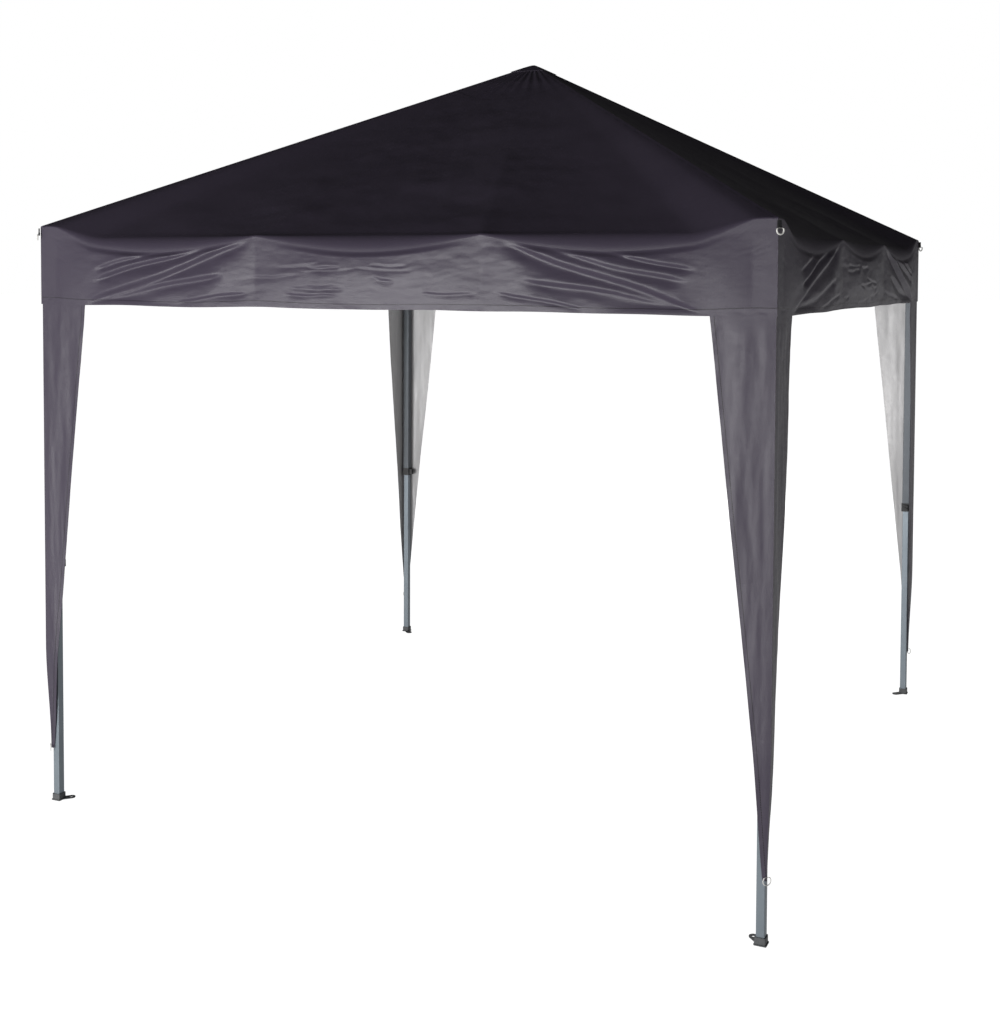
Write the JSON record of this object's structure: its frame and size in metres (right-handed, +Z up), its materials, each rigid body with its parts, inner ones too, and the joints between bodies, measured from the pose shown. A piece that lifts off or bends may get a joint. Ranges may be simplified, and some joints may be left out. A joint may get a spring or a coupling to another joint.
{
  "type": "pop up gazebo",
  "caption": "Square pop up gazebo with a folding scissor-truss frame, telescopic legs, a low pyramid canopy, straight valance and tapered leg curtains.",
  "frame": {"origin": "on the ground, centred under the mast", "axes": "+Z up, front side faces -Y, right side faces +X"},
  "size_m": [2.5336, 2.5336, 2.5898],
  "materials": {
    "canopy_fabric": "coated woven polyester, near black outside, silver coated inside",
    "black_plastic": "moulded, fine grained",
    "ring_plastic": "white moulded guy rings",
    "leg_steel": "powder coated, hammered grey",
    "lower_leg_steel": "powder coated, satin grey",
    "truss_steel": "powder coated, hammered grey",
    "mast_steel": "powder coated, satin grey"
  },
  "bodies": {
    "root": {"centre_hub": "black_plastic", "mast_tube": "mast_steel"},
    "peak_pole": {"peak_pole": "mast_steel", "peak_cap": "black_plastic"},
    "inner_arm_front_left": {"inner_arm_front_left": "truss_steel"},
    "outer_arm_front_left": {"outer_arm_front_left": "truss_steel"},
    "leg_front_left": {"leg_front_left": "leg_steel"},
    "brace_front_left": {"brace_front_left": "truss_steel"},
    "slider_front_left": {"slider_front_left": "black_plastic"},
    "lower_leg_front_left": {"lower_leg_front_left": "lower_leg_steel"},
    "leg_lock_front_left": {"leg_lock_front_left": "black_plastic"},
    "inner_arm_front_right": {"inner_arm_front_right": "truss_steel"},
    "outer_arm_front_right": {"outer_arm_front_right": "truss_steel"},
    "leg_front_right": {"leg_front_right": "leg_steel"},
    "brace_front_right": {"brace_front_right": "truss_steel"},
    "slider_front_right": {"slider_front_right": "black_plastic"},
    "lower_leg_front_right": {"lower_leg_front_right": "lower_leg_steel"},
    "leg_lock_front_right": {"leg_lock_front_right": "black_plastic"},
    "inner_arm_back_right": {"inner_arm_back_right": "truss_steel"},
    "outer_arm_back_right": {"outer_arm_back_right": "truss_steel"},
    "leg_back_right": {"leg_back_right": "leg_steel"},
    "brace_back_right": {"brace_back_right": "truss_steel"},
    "slider_back_right": {"slider_back_right": "black_plastic"},
    "lower_leg_back_right": {"lower_leg_back_right": "lower_leg_steel"},
    "leg_lock_back_right": {"leg_lock_back_right": "black_plastic"},
    "inner_arm_back_left": {"inner_arm_back_left": "truss_steel"},
    "outer_arm_back_left": {"outer_arm_back_left": "truss_steel"},
    "leg_back_left": {"leg_back_left": "leg_steel"},
    "brace_back_left": {"brace_back_left": "truss_steel"},
    "slider_back_left": {"slider_back_left": "black_plastic"},
    "lower_leg_back_left": {"lower_leg_back_left": "lower_leg_steel"},
    "leg_lock_back_left": {"leg_lock_back_left": "black_plastic"},
    "front_truss_1_falling": {"front_truss_1_falling": "truss_steel"},
    "front_truss_2_falling": {"front_truss_2_falling": "truss_steel"},
    "front_truss_3_falling": {"front_truss_3_falling": "truss_steel"},
    "front_truss_1_rising": {"front_truss_1_rising": "truss_steel"},
    "front_truss_2_rising": {"front_truss_2_rising": "truss_steel"},
    "front_truss_3_rising": {"front_truss_3_rising": "truss_steel"},
    "canopy_front": {"canopy_front": "canopy_fabric"},
    "right_truss_1_falling": {"right_truss_1_falling": "truss_steel"},
    "right_truss_2_falling": {"right_truss_2_falling": "truss_steel"},
    "right_truss_3_falling": {"right_truss_3_falling": "truss_steel"},
    "right_truss_1_rising": {"right_truss_1_rising": "truss_steel"},
    "right_truss_2_rising": {"right_truss_2_rising": "truss_steel"},
    "right_truss_3_rising": {"right_truss_3_rising": "truss_steel"},
    "canopy_right": {"canopy_right": "canopy_fabric"},
    "back_truss_1_falling": {"back_truss_1_falling": "truss_steel"},
    "back_truss_2_falling": {"back_truss_2_falling": "truss_steel"},
    "back_truss_3_falling": {"back_truss_3_falling": "truss_steel"},
    "back_truss_1_rising": {"back_truss_1_rising": "truss_steel"},
    "back_truss_2_rising": {"back_truss_2_rising": "truss_steel"},
    "back_truss_3_rising": {"back_truss_3_rising": "truss_steel"},
    "canopy_back": {"canopy_back": "canopy_fabric"},
    "left_truss_1_falling": {"left_truss_1_falling": "truss_steel"},
    "left_truss_2_falling": {"left_truss_2_falling": "truss_steel"},
    "left_truss_3_falling": {"left_truss_3_falling": "truss_steel"},
    "left_truss_1_rising": {"left_truss_1_rising": "truss_steel"},
    "left_truss_2_rising": {"left_truss_2_rising": "truss_steel"},
    "left_truss_3_rising": {"left_truss_3_rising": "truss_steel"},
    "canopy_left": {"canopy_left": "canopy_fabric"}
  },
  "joints": [
    {"name": "frame_fold", "type": "hinge", "parent": "root", "child": "inner_arm_front_left", "pos_m": [-0.0203, -0.0203, 1.905], "axis": [0.7071, -0.7071, 0], "range_deg": [0, 70.5]},
    {"name": "elbow_front_left", "type": "hinge", "parent": "inner_arm_front_left", "child": "outer_arm_front_left", "pos_m": [-0.6053, -0.6053, 1.69104], "axis": [0.7071, -0.7071, 0], "range_deg": [-141, 0]},
    {"name": "arm_to_leg_front_left", "type": "hinge", "parent": "outer_arm_front_left", "child": "leg_front_left", "pos_m": [-1.1903, -1.1903, 1.905], "axis": [0.7071, -0.7071, 0], "range_deg": [0, 70.5]},
    {"name": "brace_fold_front_left", "type": "hinge", "parent": "outer_arm_front_left", "child": "brace_front_left", "pos_m": [-0.91453, -0.91453, 1.80414], "axis": [0.7071, -0.7071, 0], "range_deg": [0, 141]},
    {"name": "lower_leg_slide_front_left", "type": "slide", "parent": "leg_front_left", "child": "lower_leg_front_left", "axis": [0, 0, 1], "range_m": [0, 0.7]},
    {"name": "lock_press_front_left", "type": "slide", "parent": "leg_front_left", "child": "leg_lock_front_left", "axis": [0, -1, 0], "range_m": [0, 0.004], "stiffness_N_per_m": 1500, "springref_m": -0.001},
    {"name": "inner_arm_fold_front_right", "type": "hinge", "parent": "root", "child": "inner_arm_front_right", "pos_m": [0.0203, -0.0203, 1.905], "axis": [0.7071, 0.7071, 0], "range_deg": [0, 70.5]},
    {"name": "elbow_front_right", "type": "hinge", "parent": "inner_arm_front_right", "child": "outer_arm_front_right", "pos_m": [0.6053, -0.6053, 1.69104], "axis": [0.7071, 0.7071, 0], "range_deg": [-141, 0]},
    {"name": "arm_to_leg_front_right", "type": "hinge", "parent": "outer_arm_front_right", "child": "leg_front_right", "pos_m": [1.1903, -1.1903, 1.905], "axis": [0.7071, 0.7071, 0], "range_deg": [0, 70.5]},
    {"name": "brace_fold_front_right", "type": "hinge", "parent": "outer_arm_front_right", "child": "brace_front_right", "pos_m": [0.91453, -0.91453, 1.80414], "axis": [0.7071, 0.7071, 0], "range_deg": [0, 141]},
    {"name": "lower_leg_slide_front_right", "type": "slide", "parent": "leg_front_right", "child": "lower_leg_front_right", "axis": [0, 0, 1], "range_m": [0, 0.7]},
    {"name": "lock_press_front_right", "type": "slide", "parent": "leg_front_right", "child": "leg_lock_front_right", "axis": [1, 0, 0], "range_m": [0, 0.004], "stiffness_N_per_m": 1500, "springref_m": -0.001},
    {"name": "inner_arm_fold_back_right", "type": "hinge", "parent": "root", "child": "inner_arm_back_right", "pos_m": [0.0203, 0.0203, 1.905], "axis": [-0.7071, 0.7071, 0], "range_deg": [0, 70.5]},
    {"name": "elbow_back_right", "type": "hinge", "parent": "inner_arm_back_right", "child": "outer_arm_back_right", "pos_m": [0.6053, 0.6053, 1.69104], "axis": [-0.7071, 0.7071, 0], "range_deg": [-141, 0]},
    {"name": "arm_to_leg_back_right", "type": "hinge", "parent": "outer_arm_back_right", "child": "leg_back_right", "pos_m": [1.1903, 1.1903, 1.905], "axis": [-0.7071, 0.7071, 0], "range_deg": [0, 70.5]},
    {"name": "brace_fold_back_right", "type": "hinge", "parent": "outer_arm_back_right", "child": "brace_back_right", "pos_m": [0.91453, 0.91453, 1.80414], "axis": [-0.7071, 0.7071, 0], "range_deg": [0, 141]},
    {"name": "lower_leg_slide_back_right", "type": "slide", "parent": "leg_back_right", "child": "lower_leg_back_right", "axis": [0, 0, 1], "range_m": [0, 0.7]},
    {"name": "lock_press_back_right", "type": "slide", "parent": "leg_back_right", "child": "leg_lock_back_right", "axis": [0, 1, 0], "range_m": [0, 0.004], "stiffness_N_per_m": 1500, "springref_m": -0.001},
    {"name": "inner_arm_fold_back_left", "type": "hinge", "parent": "root", "child": "inner_arm_back_left", "pos_m": [-0.0203, 0.0203, 1.905], "axis": [-0.7071, -0.7071, 0], "range_deg": [0, 70.5]},
    {"name": "elbow_back_left", "type": "hinge", "parent": "inner_arm_back_left", "child": "outer_arm_back_left", "pos_m": [-0.6053, 0.6053, 1.69104], "axis": [-0.7071, -0.7071, 0], "range_deg": [-141, 0]},
    {"name": "arm_to_leg_back_left", "type": "hinge", "parent": "outer_arm_back_left", "child": "leg_back_left", "pos_m": [-1.1903, 1.1903, 1.905], "axis": [-0.7071, -0.7071, 0], "range_deg": [0, 70.5]},
    {"name": "brace_fold_back_left", "type": "hinge", "parent": "outer_arm_back_left", "child": "brace_back_left", "pos_m": [-0.91453, 0.91453, 1.80414], "axis": [-0.7071, -0.7071, 0], "range_deg": [0, 141]},
    {"name": "lower_leg_slide_back_left", "type": "slide", "parent": "leg_back_left", "child": "lower_leg_back_left", "axis": [0, 0, 1], "range_m": [0, 0.7]},
    {"name": "lock_press_back_left", "type": "slide", "parent": "leg_back_left", "child": "leg_lock_back_left", "axis": [-1, 0, 0], "range_m": [0, 0.004], "stiffness_N_per_m": 1500, "springref_m": -0.001},
    {"name": "front_truss_1_falling_top", "type": "hinge", "parent": "leg_front_left", "child": "front_truss_1_falling", "pos_m": [-1.17, -1.22, 1.905], "axis": [0, 1, 0], "range_deg": [0, 70.5]},
    {"name": "front_cross_1", "type": "hinge", "parent": "front_truss_1_falling", "child": "front_truss_1_rising", "pos_m": [-0.78, -1.22, 1.80414], "axis": [0, 1, 0], "range_deg": [-141, 0]},
    {"name": "slider_pivot_front_left", "type": "hinge", "parent": "front_truss_1_rising", "child": "slider_front_left", "pos_m": [-1.17, -1.22, 1.70328], "axis": [0, 1, 0], "range_deg": [0, 70.5]},
    {"name": "front_truss_2_falling_top", "type": "hinge", "parent": "front_truss_1_rising", "child": "front_truss_2_falling", "pos_m": [-0.39, -1.22, 1.905], "axis": [0, 1, 0], "range_deg": [0, 141]},
    {"name": "front_truss_3_rising_top", "type": "hinge", "parent": "leg_front_right", "child": "front_truss_3_rising", "pos_m": [1.17, -1.22, 1.905], "axis": [0, 1, 0], "range_deg": [-70.5, 0]},
    {"name": "front_cross_3", "type": "hinge", "parent": "front_truss_3_rising", "child": "front_truss_3_falling", "pos_m": [0.78, -1.22, 1.80414], "axis": [0, 1, 0], "range_deg": [0, 141]},
    {"name": "front_truss_2_rising_top", "type": "hinge", "parent": "front_truss_3_falling", "child": "front_truss_2_rising", "pos_m": [0.39, -1.22, 1.905], "axis": [0, 1, 0], "range_deg": [-141, 0]},
    {"name": "canopy_fold_front", "type": "hinge", "parent": "root", "child": "canopy_front", "pos_m": [0, -0.034, 2.57259], "axis": [1, 0, 0], "range_deg": [0, 47.4], "deforming": ["canopy_front"]},
    {"name": "right_truss_1_falling_top", "type": "hinge", "parent": "leg_front_right", "child": "right_truss_1_falling", "pos_m": [1.22, -1.17, 1.905], "axis": [-1, 0, 0], "range_deg": [0, 70.5]},
    {"name": "right_cross_1", "type": "hinge", "parent": "right_truss_1_falling", "child": "right_truss_1_rising", "pos_m": [1.22, -0.78, 1.80414], "axis": [-1, 0, 0], "range_deg": [-141, 0]},
    {"name": "slider_pivot_front_right", "type": "hinge", "parent": "right_truss_1_rising", "child": "slider_front_right", "pos_m": [1.22, -1.17, 1.70328], "axis": [-1, 0, 0], "range_deg": [0, 70.5]},
    {"name": "right_truss_2_falling_top", "type": "hinge", "parent": "right_truss_1_rising", "child": "right_truss_2_falling", "pos_m": [1.22, -0.39, 1.905], "axis": [-1, 0, 0], "range_deg": [0, 141]},
    {"name": "right_truss_3_rising_top", "type": "hinge", "parent": "leg_back_right", "child": "right_truss_3_rising", "pos_m": [1.22, 1.17, 1.905], "axis": [-1, 0, 0], "range_deg": [-70.5, 0]},
    {"name": "right_cross_3", "type": "hinge", "parent": "right_truss_3_rising", "child": "right_truss_3_falling", "pos_m": [1.22, 0.78, 1.80414], "axis": [-1, 0, 0], "range_deg": [0, 141]},
    {"name": "right_truss_2_rising_top", "type": "hinge", "parent": "right_truss_3_falling", "child": "right_truss_2_rising", "pos_m": [1.22, 0.39, 1.905], "axis": [-1, 0, 0], "range_deg": [-141, 0]},
    {"name": "canopy_fold_right", "type": "hinge", "parent": "root", "child": "canopy_right", "pos_m": [0.034, 0, 2.57259], "axis": [0, 1, 0], "range_deg": [0, 47.4], "deforming": ["canopy_right"]},
    {"name": "back_truss_1_falling_top", "type": "hinge", "parent": "leg_back_right", "child": "back_truss_1_falling", "pos_m": [1.17, 1.22, 1.905], "axis": [0, -1, 0], "range_deg": [0, 70.5]},
    {"name": "back_cross_1", "type": "hinge", "parent": "back_truss_1_falling", "child": "back_truss_1_rising", "pos_m": [0.78, 1.22, 1.80414], "axis": [0, -1, 0], "range_deg": [-141, 0]},
    {"name": "slider_pivot_back_right", "type": "hinge", "parent": "back_truss_1_rising", "child": "slider_back_right", "pos_m": [1.17, 1.22, 1.70328], "axis": [0, -1, 0], "range_deg": [0, 70.5]},
    {"name": "back_truss_2_falling_top", "type": "hinge", "parent": "back_truss_1_rising", "child": "back_truss_2_falling", "pos_m": [0.39, 1.22, 1.905], "axis": [0, -1, 0], "range_deg": [0, 141]},
    {"name": "back_truss_3_rising_top", "type": "hinge", "parent": "leg_back_left", "child": "back_truss_3_rising", "pos_m": [-1.17, 1.22, 1.905], "axis": [0, -1, 0], "range_deg": [-70.5, 0]},
    {"name": "back_cross_3", "type": "hinge", "parent": "back_truss_3_rising", "child": "back_truss_3_falling", "pos_m": [-0.78, 1.22, 1.80414], "axis": [0, -1, 0], "range_deg": [0, 141]},
    {"name": "back_truss_2_rising_top", "type": "hinge", "parent": "back_truss_3_falling", "child": "back_truss_2_rising", "pos_m": [-0.39, 1.22, 1.905], "axis": [0, -1, 0], "range_deg": [-141, 0]},
    {"name": "canopy_fold_back", "type": "hinge", "parent": "root", "child": "canopy_back", "pos_m": [0, 0.034, 2.57259], "axis": [-1, 0, 0], "range_deg": [0, 47.4], "deforming": ["canopy_back"]},
    {"name": "left_truss_1_falling_top", "type": "hinge", "parent": "leg_back_left", "child": "left_truss_1_falling", "pos_m": [-1.22, 1.17, 1.905], "axis": [1, 0, 0], "range_deg": [0, 70.5]},
    {"name": "left_cross_1", "type": "hinge", "parent": "left_truss_1_falling", "child": "left_truss_1_rising", "pos_m": [-1.22, 0.78, 1.80414], "axis": [1, 0, 0], "range_deg": [-141, 0]},
    {"name": "slider_pivot_back_left", "type": "hinge", "parent": "left_truss_1_rising", "child": "slider_back_left", "pos_m": [-1.22, 1.17, 1.70328], "axis": [1, 0, 0], "range_deg": [0, 70.5]},
    {"name": "left_truss_2_falling_top", "type": "hinge", "parent": "left_truss_1_rising", "child": "left_truss_2_falling", "pos_m": [-1.22, 0.39, 1.905], "axis": [1, 0, 0], "range_deg": [0, 141]},
    {"name": "left_truss_3_rising_top", "type": "hinge", "parent": "leg_front_left", "child": "left_truss_3_rising", "pos_m": [-1.22, -1.17, 1.905], "axis": [1, 0, 0], "range_deg": [-70.5, 0]},
    {"name": "left_cross_3", "type": "hinge", "parent": "left_truss_3_rising", "child": "left_truss_3_falling", "pos_m": [-1.22, -0.78, 1.80414], "axis": [1, 0, 0], "range_deg": [0, 141]},
    {"name": "left_truss_2_rising_top", "type": "hinge", "parent": "left_truss_3_falling", "child": "left_truss_2_rising", "pos_m": [-1.22, -0.39, 1.905], "axis": [1, 0, 0], "range_deg": [-141, 0]},
    {"name": "canopy_fold_left", "type": "hinge", "parent": "root", "child": "canopy_left", "pos_m": [-0.034, 0, 2.57259], "axis": [0, -1, 0], "range_deg": [0, 47.4], "deforming": ["canopy_left"]},
    {"name": "peak_pole_drop", "type": "slide", "parent": "root", "child": "peak_pole", "axis": [0, 0, -1], "range_m": [0, 0.5]}
  ],
  "couplings": [
    {"joint": "elbow_front_left", "follows": "frame_fold", "ratio": -2},
    {"joint": "arm_to_leg_front_left", "follows": "frame_fold", "ratio": 1},
    {"joint": "brace_fold_front_left", "follows": "frame_fold", "ratio": 2},
    {"joint": "inner_arm_fold_front_right", "follows": "frame_fold", "ratio": 1},
    {"joint": "elbow_front_right", "follows": "frame_fold", "ratio": -2},
    {"joint": "arm_to_leg_front_right", "follows": "frame_fold", "ratio": 1},
    {"joint": "brace_fold_front_right", "follows": "frame_fold", "ratio": 2},
    {"joint": "inner_arm_fold_back_right", "follows": "frame_fold", "ratio": 1},
    {"joint": "elbow_back_right", "follows": "frame_fold", "ratio": -2},
    {"joint": "arm_to_leg_back_right", "follows": "frame_fold", "ratio": 1},
    {"joint": "brace_fold_back_right", "follows": "frame_fold", "ratio": 2},
    {"joint": "inner_arm_fold_back_left", "follows": "frame_fold", "ratio": 1},
    {"joint": "elbow_back_left", "follows": "frame_fold", "ratio": -2},
    {"joint": "arm_to_leg_back_left", "follows": "frame_fold", "ratio": 1},
    {"joint": "brace_fold_back_left", "follows": "frame_fold", "ratio": 2},
    {"joint": "front_truss_1_falling_top", "follows": "frame_fold", "ratio": 1},
    {"joint": "front_cross_1", "follows": "frame_fold", "ratio": -2},
    {"joint": "slider_pivot_front_left", "follows": "frame_fold", "ratio": 1},
    {"joint": "front_truss_2_falling_top", "follows": "frame_fold", "ratio": 2},
    {"joint": "front_truss_3_rising_top", "follows": "frame_fold", "ratio": -1},
    {"joint": "front_cross_3", "follows": "frame_fold", "ratio": 2},
    {"joint": "front_truss_2_rising_top", "follows": "frame_fold", "ratio": -2},
    {"joint": "canopy_fold_front", "follows": "frame_fold", "ratio": 0.6723},
    {"joint": "right_truss_1_falling_top", "follows": "frame_fold", "ratio": 1},
    {"joint": "right_cross_1", "follows": "frame_fold", "ratio": -2},
    {"joint": "slider_pivot_front_right", "follows": "frame_fold", "ratio": 1},
    {"joint": "right_truss_2_falling_top", "follows": "frame_fold", "ratio": 2},
    {"joint": "right_truss_3_rising_top", "follows": "frame_fold", "ratio": -1},
    {"joint": "right_cross_3", "follows": "frame_fold", "ratio": 2},
    {"joint": "right_truss_2_rising_top", "follows": "frame_fold", "ratio": -2},
    {"joint": "canopy_fold_right", "follows": "frame_fold", "ratio": 0.6723},
    {"joint": "back_truss_1_falling_top", "follows": "frame_fold", "ratio": 1},
    {"joint": "back_cross_1", "follows": "frame_fold", "ratio": -2},
    {"joint": "slider_pivot_back_right", "follows": "frame_fold", "ratio": 1},
    {"joint": "back_truss_2_falling_top", "follows": "frame_fold", "ratio": 2},
    {"joint": "back_truss_3_rising_top", "follows": "frame_fold", "ratio": -1},
    {"joint": "back_cross_3", "follows": "frame_fold", "ratio": 2},
    {"joint": "back_truss_2_rising_top", "follows": "frame_fold", "ratio": -2},
    {"joint": "canopy_fold_back", "follows": "frame_fold", "ratio": 0.6723},
    {"joint": "left_truss_1_falling_top", "follows": "frame_fold", "ratio": 1},
    {"joint": "left_cross_1", "follows": "frame_fold", "ratio": -2},
    {"joint": "slider_pivot_back_left", "follows": "frame_fold", "ratio": 1},
    {"joint": "left_truss_2_falling_top", "follows": "frame_fold", "ratio": 2},
    {"joint": "left_truss_3_rising_top", "follows": "frame_fold", "ratio": -1},
    {"joint": "left_cross_3", "follows": "frame_fold", "ratio": 2},
    {"joint": "left_truss_2_rising_top", "follows": "frame_fold", "ratio": -2},
    {"joint": "canopy_fold_left", "follows": "frame_fold", "ratio": 0.6723}
  ]
}
